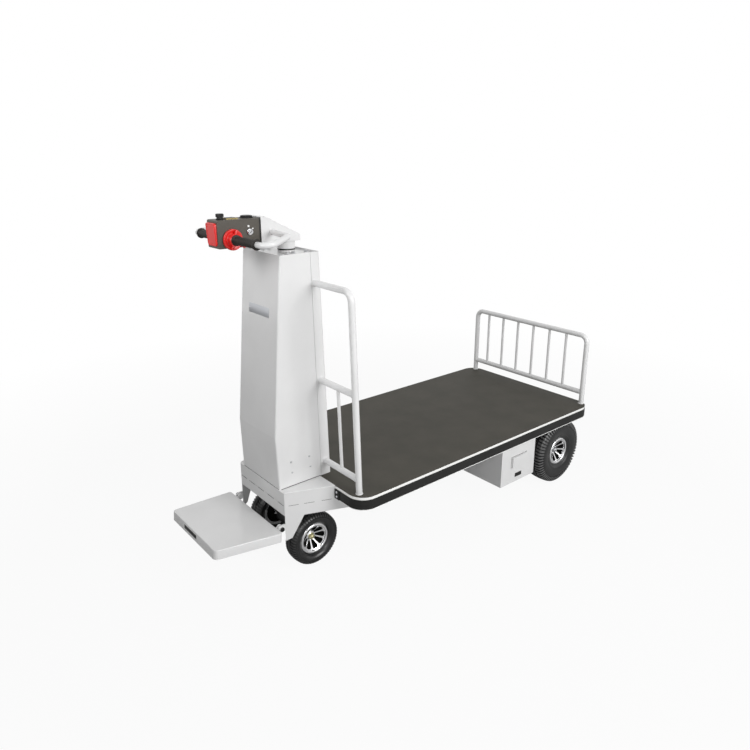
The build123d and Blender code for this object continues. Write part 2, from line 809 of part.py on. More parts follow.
def pedal_pieces():
    """The folding pan and its hinge ears, level about the pivot and then tipped."""
    near = -pivot_to_pan
    far = -pivot_to_pan - pedal_length
    low = pivot_to_top - pedal_depth
    plan = Polyline(
        (near, -pedal_inner_half),
        (far, -pedal_outer_half),
        (far, pedal_outer_half),
        (near, pedal_inner_half),
        close=True,
    )
    pan = Pos(0, 0, low) * extrude(make_face(plan), pedal_depth)
    pan = fillet(pan.edges().filter_by(Axis.Z).group_by(Axis.X)[0], pedal_corner)
    side = pedal_sheet
    slope = (pedal_inner_half - pedal_outer_half) / pedal_length
    hollow_plan = Polyline(
        (near - side, -pedal_inner_half + side + slope * side),
        (far + side, -pedal_outer_half + side - slope * side),
        (far + side, pedal_outer_half - side + slope * side),
        (near - side, pedal_inner_half - side - slope * side),
        close=True,
    )
    hollow = Pos(0, 0, low) * extrude(make_face(hollow_plan), pedal_depth - side)
    hollow = fillet(hollow.edges().filter_by(Axis.Z).group_by(Axis.X)[0], pedal_corner - side)
    pan = fillet(pan.faces().sort_by(Axis.Z)[-1].edges(), pedal_sheet)
    pan -= hollow

    ear_out = nose_front_half - lug_thick - ear_gap
    ear_in = ear_out - ear_thick
    ear = block(near, 0, ear_in, ear_out, -ear_radius, pivot_to_top - pedal_sheet)
    ear += rod((0, ear_in, 0), (0, ear_out, 0), ear_radius)
    head_in = nose_front_half + running_gap
    ear += rod((0, ear_in, 0), (0, head_in, 0), pin_radius)
    ear += rod((0, head_in, 0), (0, head_in + pin_head_height, 0), pin_head_radius)
    place = Pos(pivot_x, 0, pivot_z) * Rot(0, pedal_tip, 0)
    save("pedal_pan", place * pan)
    save("pedal_hinges", place * pair(ear))


def save(name, shape):
    """Move a piece to the middle of the truck and write it."""
    export_step(Pos(-middle, 0, 0) * shape, f"parts/{name}.step")


deck_pieces()
nose_pieces()
column_pieces()
rail_hoops = rear_rail_pieces() + front_rail_pieces()
mat_end_pieces(rail_hoops)
battery_pieces()
rear_axle_pieces()
wheel_pieces()
steering_pieces()
tiller_pieces()
pedal_pieces()
print(f"moved {-middle:.3f} mm along X; steering axis at {steer_x - middle:.3f}; rear axle at "
      f"{rear_axle_x - middle:.3f}; pedal pivot at {pivot_x - middle:.3f}, {pivot_z}")
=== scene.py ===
# %% [markdown]
# A stand-on electric platform truck, dressed in Blender over its imported CAD model. The CAD gives every
# rigid shape in its real place, so this script only loads it, gives each piece the finish of the real
# material, and adds the small things that CAD leaves out. The box round the CAD model is kept.

# %% Load the truck
import math

import bmesh
import bpy
from mathutils import Matrix, Vector


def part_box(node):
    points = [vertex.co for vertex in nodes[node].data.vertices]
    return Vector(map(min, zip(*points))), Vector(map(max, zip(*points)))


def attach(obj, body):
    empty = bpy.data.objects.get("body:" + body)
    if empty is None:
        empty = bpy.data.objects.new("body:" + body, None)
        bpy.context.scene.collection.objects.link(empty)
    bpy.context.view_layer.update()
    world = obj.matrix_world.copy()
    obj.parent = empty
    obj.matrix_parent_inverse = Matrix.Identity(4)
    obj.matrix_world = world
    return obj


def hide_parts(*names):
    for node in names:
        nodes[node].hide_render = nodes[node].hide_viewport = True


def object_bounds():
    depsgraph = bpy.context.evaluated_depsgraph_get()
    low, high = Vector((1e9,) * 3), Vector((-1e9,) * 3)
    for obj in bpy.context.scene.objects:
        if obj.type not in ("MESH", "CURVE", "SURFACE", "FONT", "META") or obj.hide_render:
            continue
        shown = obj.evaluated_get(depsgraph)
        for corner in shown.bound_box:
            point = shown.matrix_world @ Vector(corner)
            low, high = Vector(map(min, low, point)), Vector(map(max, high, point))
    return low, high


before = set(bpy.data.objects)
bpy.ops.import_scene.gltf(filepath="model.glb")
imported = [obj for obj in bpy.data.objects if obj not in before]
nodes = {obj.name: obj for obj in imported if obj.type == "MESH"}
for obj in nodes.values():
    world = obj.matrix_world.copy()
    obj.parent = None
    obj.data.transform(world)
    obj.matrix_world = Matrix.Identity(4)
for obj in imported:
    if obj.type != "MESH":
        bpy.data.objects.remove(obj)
cad_low, cad_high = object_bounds()
print("pieces loaded:", len(nodes), "size in metres:", [round(h - l, 3) for l, h in zip(cad_low, cad_high)])

# %% [markdown]
# The camera stands where the photographer stood: a little above the tiller, off the front corner.
# A constraint could aim it at the truck, but then its tilt would follow the target, so its place and its two
# angles are written down instead. The lens shift frames the truck as the picture does, without tipping the
# camera further. The deck's front edge is the place that all lengths are measured from.

# %% Camera
deck_front = Vector(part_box("bumper_rubber")[0]).x
picture_width = 750
focal_pixels = 653.1
shift_pixels = -24.0
pitch_down = 17.2
yaw = 50.2
camera_data = bpy.data.cameras.new("photo_camera")
camera_data.sensor_width = 36.0
camera_data.lens = focal_pixels / picture_width * camera_data.sensor_width
camera_data.shift_y = shift_pixels / picture_width
camera = bpy.data.objects.new("photo_camera", camera_data)
camera.location = (deck_front - 1.3433, -2.1018, 1.6300)
camera.rotation_euler = (math.radians(90.0 - pitch_down), 0.0, math.radians(yaw - 90.0))
bpy.context.scene.collection.objects.link(camera)
bpy.context.scene.camera = camera
print("camera at", [round(c, 3) for c in camera.location], "lens", round(camera_data.lens, 2), "mm")

# %% [markdown]
# Colours are written as the sRGB hex values that a paint chart gives, and one function turns them into
# the linear numbers that Blender's shaders work in. Nodes could be laid out by hand in the shader editor, but
# a script can be read and run again, so a second function adds a node with its settings and its links. Each
# light and material below then reads as a short list.

# %% Helpers for shader nodes
def colour(hex_value):
    """An sRGB hex colour as linear red, green, blue and alpha."""
    channels = [int(hex_value[i : i + 2], 16) / 255.0 for i in (1, 3, 5)]
    linear = [c / 12.92 if c <= 0.04045 else ((c + 0.055) / 1.055) ** 2.4 for c in channels]
    return (*linear, 1.0)


def add(tree, kind, inputs=None, **settings):
    """Adds one node. An input is a plain value, or another node's output to link."""
    node = tree.nodes.new(kind)
    for name, value in settings.items():
        setattr(node, name, value)
    for name, value in (inputs or {}).items():
        if isinstance(value, bpy.types.NodeSocket):
            tree.links.new(value, node.inputs[name])
        else:
            node.inputs[name].default_value = value
    return node


def new_material(name):
    """An empty node material and its tree."""
    material = bpy.data.materials.new(name)
    material.use_nodes = True
    material.node_tree.nodes.clear()
    return material, material.node_tree


print("light grey in linear numbers:", [round(c, 3) for c in colour("#dcdcdc")])

# %% [markdown]
# The studio is a white room. Real walls could be built, but the world does it with a few nodes: it shows
# plain white to the camera and to reflections, and lights the truck more softly than that. It is dimmer
# towards the step, so the faces on that side stay in half shade.

# %% White room
white = colour("#ffffff")
bright_level = 0.56
dim_level = 0.2
dim_way = (-1.0, 0.15, -0.2)
world = bpy.data.worlds.new("white_studio")
bpy.context.scene.world = world
world.use_nodes = True
tree = world.node_tree
tree.nodes.clear()
path = add(tree, "ShaderNodeLightPath").outputs
inputs = {0: path["Is Camera Ray"], 1: path["Is Glossy Ray"]}
seen = add(tree, "ShaderNodeMath", inputs, operation="MAXIMUM")
inputs = {0: seen.outputs[0], 1: path["Is Transmission Ray"]}
seen = add(tree, "ShaderNodeMath", inputs, operation="MAXIMUM")
looking = add(tree, "ShaderNodeTexCoord").outputs["Generated"]
aside = add(tree, "ShaderNodeVectorMath", {0: looking, 1: dim_way}, operation="DOT_PRODUCT")
inputs = {"Value": aside.outputs["Value"], "From Min": -0.1, "From Max": 0.7}
inputs.update({"To Min": bright_level, "To Max": dim_level})
level = add(tree, "ShaderNodeMapRange", inputs)
soft_light = add(tree, "ShaderNodeBackground", {"Color": white, "Strength": level.outputs[0]})
white_wall = add(tree, "ShaderNodeBackground", {"Color": white, "Strength": 1.0})
inputs = {0: seen.outputs[0], 1: soft_light.outputs[0], 2: white_wall.outputs[0]}
room = add(tree, "ShaderNodeMixShader", inputs)
add(tree, "ShaderNodeOutputWorld", {"Surface": room.outputs[0]})
bpy.context.scene.view_settings.view_transform = "Standard"
print("room light from", dim_level, "to", bright_level)

# %% [markdown]
# Three soft boxes model the forms. A large one makes the near faces brightest, a weak one with a grid lifts
# the column's front without spilling on the step, and one beside the camera opens the shadows under the deck.
# Point lamps would be simpler, but area lamps give the soft shadow edges of a studio.

# %% Lamps
def soft_lamp(name, place, target, size, watts, spread_degrees=180.0):
    """A square soft box that points at a place on the truck; a small spread stands for a grid."""
    lamp_data = bpy.data.lights.new(name, "AREA")
    lamp_data.shape = "SQUARE"
    lamp_data.size = size
    lamp_data.energy = watts
    lamp_data.spread = math.radians(spread_degrees)
    lamp = bpy.data.objects.new(name, lamp_data)
    lamp.location = place
    lamp.rotation_euler = (Vector(target) - Vector(place)).to_track_quat("-Z", "Y").to_euler()
    bpy.context.scene.collection.objects.link(lamp)


soft_lamp("near_side_box", (0.6, -4.6, 2.7), (0.0, 0.0, 0.45), 2.4, 150.0)
soft_lamp("column_box", (-2.4, 0.1, 2.1), (-0.66, 0.0, 1.2), 1.1, 2.2, 50.0)
soft_lamp("camera_box", (-2.4, -2.5, 2.1), (0.4, 0.0, 0.4), 0.7, 18.0)

# %% [markdown]
# The floor is a large pale disc. Most of what the camera sees of it is plain white, as in a cut-out
# catalogue picture, and the rest is matt paint that takes the truck's shadow. A shadow-catcher setting could
# do the same, but mixing two shaders leaves the share of each in plain view. The white grows to the rim, so
# that no horizon shows.

# %% Floor
floor_radius = 7.0
floor_gap = 0.0005
shadow_reach = 1.6
plain_from = 3.4
white_share = 0.93
floor_mesh = bpy.data.meshes.new("studio_floor")
form = bmesh.new()
bmesh.ops.create_circle(form, cap_ends=True, segments=96, radius=floor_radius)
form.to_mesh(floor_mesh)
form.free()
floor = bpy.data.objects.new("studio_floor", floor_mesh)
bpy.context.scene.collection.objects.link(floor)
floor.location.z = cad_low[2] - floor_gap

matt_floor, tree = new_material("matt_white_floor")
path = add(tree, "ShaderNodeLightPath").outputs
where = add(tree, "ShaderNodeTexCoord").outputs["Object"]
away = add(tree, "ShaderNodeVectorMath", {0: where}, operation="LENGTH")
inputs = {"Value": away.outputs["Value"], "From Min": shadow_reach, "From Max": plain_from}
inputs.update({"To Min": white_share, "To Max": 1.0})
fade = add(tree, "ShaderNodeMapRange", inputs)
inputs = {0: fade.outputs[0], 1: path["Is Camera Ray"]}
shown = add(tree, "ShaderNodeMath", inputs, operation="MULTIPLY")
matt = add(tree, "ShaderNodeBsdfDiffuse", {"Color": colour("#c4c4c4")})
plain = add(tree, "ShaderNodeEmission", {"Color": white, "Strength": 1.0})
mixed = add(tree, "ShaderNodeMixShader", {0: shown.outputs[0], 1: matt.outputs[0], 2: plain.outputs[0]})
add(tree, "ShaderNodeOutputMaterial", {"Surface": mixed.outputs[0]})
floor_mesh.materials.append(matt_floor)
print("floor radius", floor_radius, "m")

# %% [markdown]
# Powder coat is a dry paint that is baked on. It gives a hard, even, glossy skin that keeps a faint
# orange-peel wave. A low roughness alone would look like wet paint, so the gloss comes from a clear coat over
# a softer body, and the step shows a blurred image of the column. A real wave is 1 to 2 mm long. That is too
# fine for a picture of this size, so it is drawn two to three times as coarse.

# %% Powder-coated steel
cloud_mm = 180.0
peel_height_mm = 0.4


def powder_coat(name, hex_light, hex_dark, wave_mm):
    """Glossy baked paint with a slight cloud in its colour and an orange-peel wave."""
    material, tree = new_material(name)
    where = add(tree, "ShaderNodeTexCoord").outputs["Object"]
    cloud = add(tree, "ShaderNodeTexNoise", {"Vector": where, "Scale": 1000.0 / cloud_mm, "Detail": 3.0})
    tint = add(tree, "ShaderNodeValToRGB", {"Fac": cloud.outputs["Fac"]})
    dark, light = tint.color_ramp.elements
    dark.position = 0.35
    dark.color = colour(hex_dark)
    light.position = 0.65
    light.color = colour(hex_light)
    wave = add(tree, "ShaderNodeTexNoise", {"Vector": where, "Scale": 1000.0 / wave_mm})
    inputs = {"Height": wave.outputs["Fac"], "Strength": 0.05, "Distance": peel_height_mm / 1000.0}
    peel = add(tree, "ShaderNodeBump", inputs)
    inputs = {
        "Base Color": tint.outputs["Color"],
        "Roughness": 0.42,
        "IOR": 1.5,
        "Coat Weight": 0.6,
        "Coat Roughness": 0.05,
        "Normal": peel.outputs["Normal"],
    }
    paint = add(tree, "ShaderNodeBsdfPrincipled", inputs)
    add(tree, "ShaderNodeOutputMaterial", {"Surface": paint.outputs[0]})
    return material


# Folded sheet steel: an even pale grey with a soft gloss
body_paint = powder_coat("powder_coat_light_grey", "#dadada", "#d5d5d5", 4.0)
# Welded steel tube: a touch whiter, so that the rails stand out from the column
rail_paint = powder_coat("powder_coat_white_grey", "#e0e0e0", "#dbdbdb", 4.0)
# Rolled steel channel in baked enamel: a clean white line round the deck
trim_paint = powder_coat("baked_enamel_white", "#f4f4f2", "#f0f0ee", 5.0)
print("paints:", body_paint.name, rail_paint.name, trim_paint.name)

# %% [markdown]
# Rubber is matt and nearly black because of the soot in it. One colour would look like plastic, so a slow
# cloud of dust runs through it, and a bump gives the grain of the mould or the rollers. Real grain is well
# under a millimetre. It is drawn at 3 to 5 mm, because finer grain wouldn't show.

# %% Rubbers
dust_mm = 120.0


def carbon_rubber(name, hex_light, hex_dark, roughness, shine, grain_mm, grain_height_mm):
    """Matt rubber with a moulded grain and a dusty cloud in its colour."""
    material, tree = new_material(name)
    where = add(tree, "ShaderNodeTexCoord").outputs["Object"]
    dust = add(tree, "ShaderNodeTexNoise", {"Vector": where, "Scale": 1000.0 / dust_mm, "Detail": 4.0})
    tint = add(tree, "ShaderNodeValToRGB", {"Fac": dust.outputs["Fac"]})
    dark, light = tint.color_ramp.elements
    dark.position = 0.3
    dark.color = colour(hex_dark)
    light.position = 0.7
    light.color = colour(hex_light)
    grain = add(tree, "ShaderNodeTexNoise", {"Vector": where, "Scale": 1000.0 / grain_mm, "Detail": 2.0})
    inputs = {"Height": grain.outputs["Fac"], "Strength": 0.5, "Distance": grain_height_mm / 1000.0}
    bump = add(tree, "ShaderNodeBump", inputs)
    inputs = {
        "Base Color": tint.outputs["Color"],
        "Roughness": roughness,
        "IOR": 1.52,
        "Specular IOR Level": shine,
        "Normal": bump.outputs["Normal"],
    }
    rubber = add(tree, "ShaderNodeBsdfPrincipled", inputs)
    add(tree, "ShaderNodeOutputMaterial", {"Surface": rubber.outputs[0]})
    return material


# Sheet from between rollers: a dry brownish black that scatters the light
mat_rubber = carbon_rubber("rolled_rubber_mat", "#423f38", "#393730", 0.6, 0.25, 3.0, 0.5)
# Strip drawn through a die: blacker and smooth, with a faint sheen
bumper_rubber = carbon_rubber("extruded_rubber_bumper", "#262625", "#20201f", 0.45, 0.18, 5.0, 0.1)
# Side wall from a polished mould: deep black with a clear gloss
tyre_rubber = carbon_rubber("moulded_tyre_rubber", "#1d1d1d", "#161616", 0.3, 0.5, 3.0, 0.3)
# Bar tops of the rear tyres: a grey that is a painted highlight, lifting the bars out of the grooves
rear_bar_highlight = carbon_rubber("rear_bar_highlight_rubber", "#646464", "#505050", 0.35, 0.5, 3.0, 0.3)
# Bar tops of the front tyres: a dimmer grey, also a painted highlight
front_bar_highlight = carbon_rubber("front_bar_highlight_rubber", "#3c3c3c", "#2e2e2e", 0.35, 0.5, 3.0, 0.3)
print("rubbers:", mat_rubber.name, bumper_rubber.name, tyre_rubber.name, rear_bar_highlight.name, front_bar_highlight.name)

# %% [markdown]
# Moulded plastic copies the texture of its tool. The control box came from a spark-eroded tool, whose fine
# grain breaks up the gloss, and the red controls from a polished one. The grain could be modelled, but a bump
# is enough for something so shallow. Real grain is a few tenths of a millimetre, so it is drawn about ten
# times as coarse to show at all.

# %% Plastics
def moulded_plastic(name, hex_body, roughness, shine, grain_mm, grain_height_mm):
    """Injection-moulded plastic with its tool's grain."""
    material, tree = new_material(name)
    where = add(tree, "ShaderNodeTexCoord").outputs["Object"]
    grain = add(tree, "ShaderNodeTexNoise", {"Vector": where, "Scale": 1000.0 / grain_mm, "Detail": 2.0})
    inputs = {"Height": grain.outputs["Fac"], "Strength": 0.4, "Distance": grain_height_mm / 1000.0}
    bump = add(tree, "ShaderNodeBump", inputs)
    inputs = {
        "Base Color": colour(hex_body),
        "Roughness": roughness,
        "IOR": 1.53,
        "Specular IOR Level": shine,
        "Normal": bump.outputs["Normal"],
    }
    plastic = add(tree, "ShaderNodeBsdfPrincipled", inputs)
    add(tree, "ShaderNodeOutputMaterial", {"Surface": plastic.outputs[0]})
    return material


# ABS from a spark-eroded tool: dark brown-grey with a broken gloss
box_plastic = moulded_plastic("grained_abs_dark", "#4b4740", 0.45, 0.35, 2.0, 0.12)
# ABS from a polished tool: a clear signal red with a sharp shine
red_plastic = moulded_plastic("moulded_abs_red", "#d5231f", 0.3, 0.5, 6.0, 0.05)
# Soft vinyl pushed over the handle: warm black, nearly matt
grip_plastic = moulded_plastic("soft_vinyl_black", "#1f1c18", 0.5, 0.3, 2.5, 0.1)
# Nylon from a plain tool: black with a dull shine
black_plastic = moulded_plastic("moulded_nylon_black", "#161615", 0.4, 0.3, 3.0, 0.06)
# Near-black with almost no shine: painted shade for the gaps between sheets and behind the wheels' spokes
shade_black = moulded_plastic("painted_shade_lacquer", "#090908", 0.8, 0.05, 4.0, 0.05)
print("plastics:", box_plastic.name, red_plastic.name, grip_plastic.name, black_plastic.name, shade_black.name)

# %% [markdown]
# Bare metal shows the room, so its colour is its reflection and it keeps Blender's default IOR. An even
# roughness would look like chrome. A noise moves the roughness a little, as the marks of a lathe, a brush or
# a plating bath do. Those marks are finer than a millimetre, so they are drawn as clouds 6 to 15 mm wide.

# %% Metals
def bare_metal(name, hex_body, roughness, grain_mm):
    """Metal whose gloss wanders slightly with the marks of its making."""
    material, tree = new_material(name)
    where = add(tree, "ShaderNodeTexCoord").outputs["Object"]
    marks = add(tree, "ShaderNodeTexNoise", {"Vector": where, "Scale": 1000.0 / grain_mm, "Detail": 4.0})
    inputs = {"Value": marks.outputs["Fac"], "To Min": roughness * 0.8, "To Max": roughness * 1.25}
    rough = add(tree, "ShaderNodeMapRange", inputs)
    inputs = {"Base Color": colour(hex_body), "Metallic": 1.0, "Roughness": rough.outputs[0]}
    metal = add(tree, "ShaderNodeBsdfPrincipled", inputs)
    add(tree, "ShaderNodeOutputMaterial", {"Surface": metal.outputs[0]})
    return material


# Cast aluminium, turned on a lathe: clear, nearly white reflections
rim_metal = bare_metal("turned_cast_aluminium", "#eeeeef", 0.18, 12.0)
# Steel with bright zinc plating: greyer and softer
zinc_steel = bare_metal("zinc_plated_steel", "#b9babc", 0.3, 8.0)
# Iron as it came from the sand mould: dark and blurred
dark_casting = bare_metal("cast_drive_housing", "#4a4b4c", 0.5, 15.0)
# Steel with yellow zinc plating: a pale straw tint
yellow_zinc = bare_metal("yellow_zinc_nut", "#c9c3a0", 0.3, 6.0)
# Brass, brushed and a little tarnished: a dull gold
meter_brass = bare_metal("brushed_brass_frame", "#8d8058", 0.45, 6.0)
# Aluminium sheet from the rolling mill: pale grey with a soft shine
plate_metal = bare_metal("rolled_aluminium_plate", "#c2c4c8", 0.35, 9.0)
print("metals:", rim_metal.name, zinc_steel.name, dark_casting.name, yellow_zinc.name, meter_brass.name)

# %% [markdown]
# Each CAD piece now takes its finish. The pieces could be named one by one, but the list goes finish by
# finish, as a paint shop would sort the parts, so that a missing piece is easy to see.

# %% Finish every piece
finishes = {
    body_paint: [
        "nose_tray", "nose_sides", "nose_apron", "bearing_floor", "frame_long_members", "frame_cross_members",
        "column_front_cover", "column_rear_cover", "column_top_plate", "tiller_bracket", "steering_shaft",
        "handle_loops", "battery_box", "battery_cover", "pedal_pan", "pedal_hinges", "pedal_lugs",
    ],
    rail_paint: ["rear_rail_hoop", "rear_rail_bars", "front_rail_hoops", "front_rail_crosses"],
    trim_paint: ["deck_edge_trim"],
    mat_rubber: ["deck_mat", "deck_mat_ends", "deck_sheet"],
    bumper_rubber: ["bumper_rubber", "bumper_end_plates", "shaft_seal"],
    tyre_rubber: ["front_tyre_left", "front_tyre_right", "rear_tyre_left", "rear_tyre_right"],
    rim_metal: ["front_rim_left", "front_rim_right", "rear_rim_left", "rear_rim_right"],
    box_plastic: ["control_box"],
    red_plastic: ["belly_button", "throttle_butterflies"],
    grip_plastic: ["hand_grips"],
    black_plastic: ["head_buttons", "battery_block"],
    zinc_steel: ["key_switch"],
    dark_casting: ["front_axle", "rear_axle", "axle_hangers", "drive_gear_case", "drive_motor"],
    meter_brass: ["charge_meter"],
}
for finish, names in finishes.items():
    for name in names:
        mesh = nodes[name].data
        mesh.materials.clear()
        mesh.materials.append(finish)
bare = sorted(set(nodes) - {name for names in finishes.values() for name in names})
print("pieces without a finish:", bare)

# %% [markdown]
# The small pieces are meshes of rings: points on a line round the piece, with faces from each ring to the
# next. Modifiers could make many of them, but rings give every point a known place. Places are in millimetres
# from the deck's front edge, the way the real truck would be measured. The last helper makes a form into an
# object with a finish, and says which body it moves with.

# %% From rings to pieces
def at(x, y, z):
    """A place in millimetres from the deck's front edge, as metres in the truck's frame."""
    return Vector((deck_front + x / 1000.0, y / 1000.0, z / 1000.0))


def join_rings(form, rings, closed):
    """Faces between rings of points; the ends are capped, or the last ring meets the first."""
    pairs = list(zip(rings, rings[1:]))
    if closed:
        pairs.append((rings[-1], rings[0]))
    for low, high in pairs:
        for step in range(len(low)):
            after = (step + 1) % len(low)
            form.faces.new((low[step], low[after], high[after], high[step]))
    if not closed:
        form.faces.new(rings[0][::-1])
        form.faces.new(rings[-1])


def dress(name, form, finish, body, sharp_degrees=35.0):
    """Turns a form into an object with a finish that moves with a body."""
    mesh = bpy.data.meshes.new(name)
    bmesh.ops.recalc_face_normals(form, faces=form.faces)
    form.to_mesh(mesh)
    form.free()
    mesh.materials.append(finish)
    mesh.shade_smooth()
    mesh.set_sharp_from_angle(angle=math.radians(sharp_degrees))
    piece = bpy.data.objects.new(name, mesh)
    bpy.context.scene.collection.objects.link(piece)
    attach(piece, body)
    return piece


print("deck front edge at x =", round(deck_front, 4), "m")

# %% [markdown]
# The tyres are pneumatic, with a smooth side wall, a raised ring and a tread of small bars. The plain CAD
# ring keeps the size, and this mesh stands for it. The grooves could be cut with booleans, but those leave
# ragged meshes. Here the section is repeated round the axle, and each bar starts and ends at points of its
# own, so that a groove has steep walls with few faces. The bars of the two sides are half a step apart, as a
# tyre mould has them.

# %% How a tread is made
# Where each point lies within one step of the tread, and 1 if it is pressed in to the groove's floor
steps_in_bar = ((0.0, 0), (0.07, 1), (0.41, 1), (0.48, 0), (0.74, 0))
first_step_on_bar = 3
# Grooves point at a circle of this share of the crown's radius, and bars lean by this share of a step
groove_aim = 0.72
bar_lean = 0.3
# A groove deeper than this, in millimetres, counts as tread
tread_depth = 1.0


def paint_bar_highlights(tyre, rows, bars, bar_highlight_finish):
    """Gives the tops of the bars a finish of their own: a lighter grey that is a painted highlight."""
    tyre.data.materials.append(bar_highlight_finish)
    for face in tyre.data.polygons:
        row, step = divmod(face.index, bars * len(steps_in_bar))
        on_bar = step % len(steps_in_bar) >= first_step_on_bar
        # Faces on top of the bars take the painted highlight
        if on_bar and min(rows[row][2], rows[(row + 1) % len(rows)][2]) > tread_depth:
            face.material_index = 1


def treaded_tyre(name, half_section, bars, bar_highlight_finish, centre, body):
    """A tyre of half-section rows: radius, half width and depth of the grooves between the bars."""
    rows = half_section + [(radius, -width, depth) for radius, width, depth in reversed(half_section[:-1])]
    crown = max(radius for radius, width, depth in rows)
    widest = max(width for radius, width, depth in rows)
    form = bmesh.new()
    rings = []
    for radius, width, depth in rows:
        inward = Vector((groove_aim * crown - radius, -width)).normalized() * depth
        shift = bar_lean * (1.0 - abs(width) / widest) + (0.5 if width < 0 else 0.0)
        ring = []
        for bar in range(bars):
            for part, pressed in steps_in_bar:
                angle = 2.0 * math.pi * (bar + part + shift) / bars
                reach = radius + pressed * inward.x
                x = centre[0] + reach * math.sin(angle)
                z = centre[2] + reach * math.cos(angle)
                ring.append(form.verts.new(at(x, centre[1] + width + pressed * inward.y, z)))
        rings.append(ring)
    join_rings(form, rings, closed=True)
    tyre = dress(name, form, tyre_rubber, body, sharp_degrees=40.0)
    paint_bar_highlights(tyre, rows, bars, bar_highlight_finish)
    return tyre


print("points in one step of the tread:", len(steps_in_bar))

# %% [markdown]
# The two sections below run from the rim, over the side wall and the raised ring, to the middle of the tread.
# The narrow groove beside the middle goes right round, so it is part of the section. The bar tops are a
# lighter grey, a painted highlight, brighter on the rear tyres than on the front ones. A second material slot
# gives the bars this painted highlight, which keeps a tyre one piece.

# %% Tyres
front_section = [
    (58.6, 16.4, 0.0), (66.9, 17.2, 0.0), (68.5, 21.0, 0.0), (72.0, 26.5, 0.0), (77.0, 31.8, 0.0),
    (82.0, 34.6, 0.0), (87.5, 35.6, 0.0), (92.4, 35.0, 0.0), (93.8, 37.0, 0.0), (96.8, 36.8, 0.0),
    (98.0, 34.6, 0.0), (101.0, 33.8, 2.0), (104.8, 31.2, 3.2), (107.8, 28.6, 3.2), (109.4, 25.6, 3.2),
    (110.4, 20.0, 3.2), (111.4, 11.0, 3.2), (111.4, 10.2, 0.0), (108.2, 9.8, 0.0), (108.2, 7.4, 0.0),
    (111.6, 7.0, 0.0), (112.0, 0.0, 0.0),
]
rear_section = [
    (61.6, 33.4, 0.0), (69.9, 34.2, 0.0), (71.0, 38.0, 0.0), (76.0, 41.5, 0.0), (86.0, 44.6, 0.0),
    (87.0, 45.8, 0.0), (90.0, 46.3, 0.0), (91.0, 45.7, 0.0), (102.0, 48.2, 0.0), (114.0, 49.6, 0.0),
    (124.0, 49.6, 0.0), (131.0, 48.8, 0.5), (137.0, 48.4, 3.6), (144.0, 47.6, 6.2), (151.0, 45.2, 6.8),
    (157.5, 42.4, 6.8), (161.4, 39.0, 6.8), (163.0, 33.0, 6.8), (164.0, 24.0, 6.8), (164.6, 15.0, 6.8),
    (164.6, 14.0, 0.0), (160.0, 13.4, 0.0), (160.0, 9.8, 0.0), (164.8, 9.2, 0.0), (165.0, 0.0, 0.0),
]
# Each wheel's CAD tyre, section, number of bars, painted highlight of the bars and middle
wheels = {
    "front_wheel_left": ("front_tyre_left", front_section, 56, front_bar_highlight, (-48.0, 142.0, 112.0)),
    "front_wheel_right": ("front_tyre_right", front_section, 56, front_bar_highlight, (-48.0, -142.0, 112.0)),
    "rear_wheel_left": ("rear_tyre_left", rear_section, 62, rear_bar_highlight, (1302.0, 341.0, 165.0)),
    "rear_wheel_right": ("rear_tyre_right", rear_section, 62, rear_bar_highlight, (1302.0, -341.0, 165.0)),
}
for body, (node, section, bars, bar_highlight_finish, centre) in wheels.items():
    tyre = treaded_tyre(node + "_tread", section, bars, bar_highlight_finish, centre, body)
    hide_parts(node)
    print(tyre.name, "faces:", len(tyre.data.polygons))

# %% [markdown]
# Many small pieces of the truck are turned on a lathe. Blender's Screw modifier would spin a profile too, but
# it needs an object for each axis. This helper spins a list of radius and height pairs about any axis, and
# several of them can go into one form.

# %% A lathe in code
def stand_on(place, axis):
    """The move that stands a form on a place with its own height along an axis."""
    return Matrix.Translation(place) @ Vector(axis).to_track_quat("Z", "Y").to_matrix().to_4x4()


def turn(form, profile, place, axis, steps=32, closed=False):
    """Spins a profile of radius and height in millimetres about an axis that starts at a place."""
    move = stand_on(place, axis)
    rings = []
    for radius, height in profile:
        ring = []
        for step in range(steps):
            angle = 2.0 * math.pi * step / steps
            point = Vector((radius * math.cos(angle), radius * math.sin(angle), height)) / 1000.0
            ring.append(form.verts.new(move @ point))
        rings.append(ring)
    join_rings(form, rings, closed)


print("lathe ready: rings of 32 points unless told otherwise")

# %% [markdown]
# Behind the spokes sits a matt black disc: painted shade that darkens the windows between the spokes. A
# polished bead runs round the rim's lip, and in the middle a nut holds the wheel on its axle. The nut stays
# with the axle when the wheel turns. All are turned parts, so their profiles are spun. A hex nut is milled
# from bar, but spun in six steps the same helper makes it.

# %% Backing discs, rim beads and hub nuts
disc_hole = 19.0
disc_clearance = 0.4
disc_front = 3.0
disc_back = 6.0
bead_profile = [(0.5, -0.2), (1.0, 1.0), (3.0, 2.1), (6.0, 2.5), (9.0, 2.0), (11.0, 0.9), (11.7, -0.2)]
washer_profile = [(13.2, 0.2), (13.8, 0.8), (13.8, 1.8), (13.2, 2.4)]
nut_profile = [(12.0, 2.3), (12.7, 3.0), (12.7, 9.5), (11.0, 11.0)]
stud_profile = [(7.4, 10.5), (7.4, 13.5), (6.2, 14.5)]
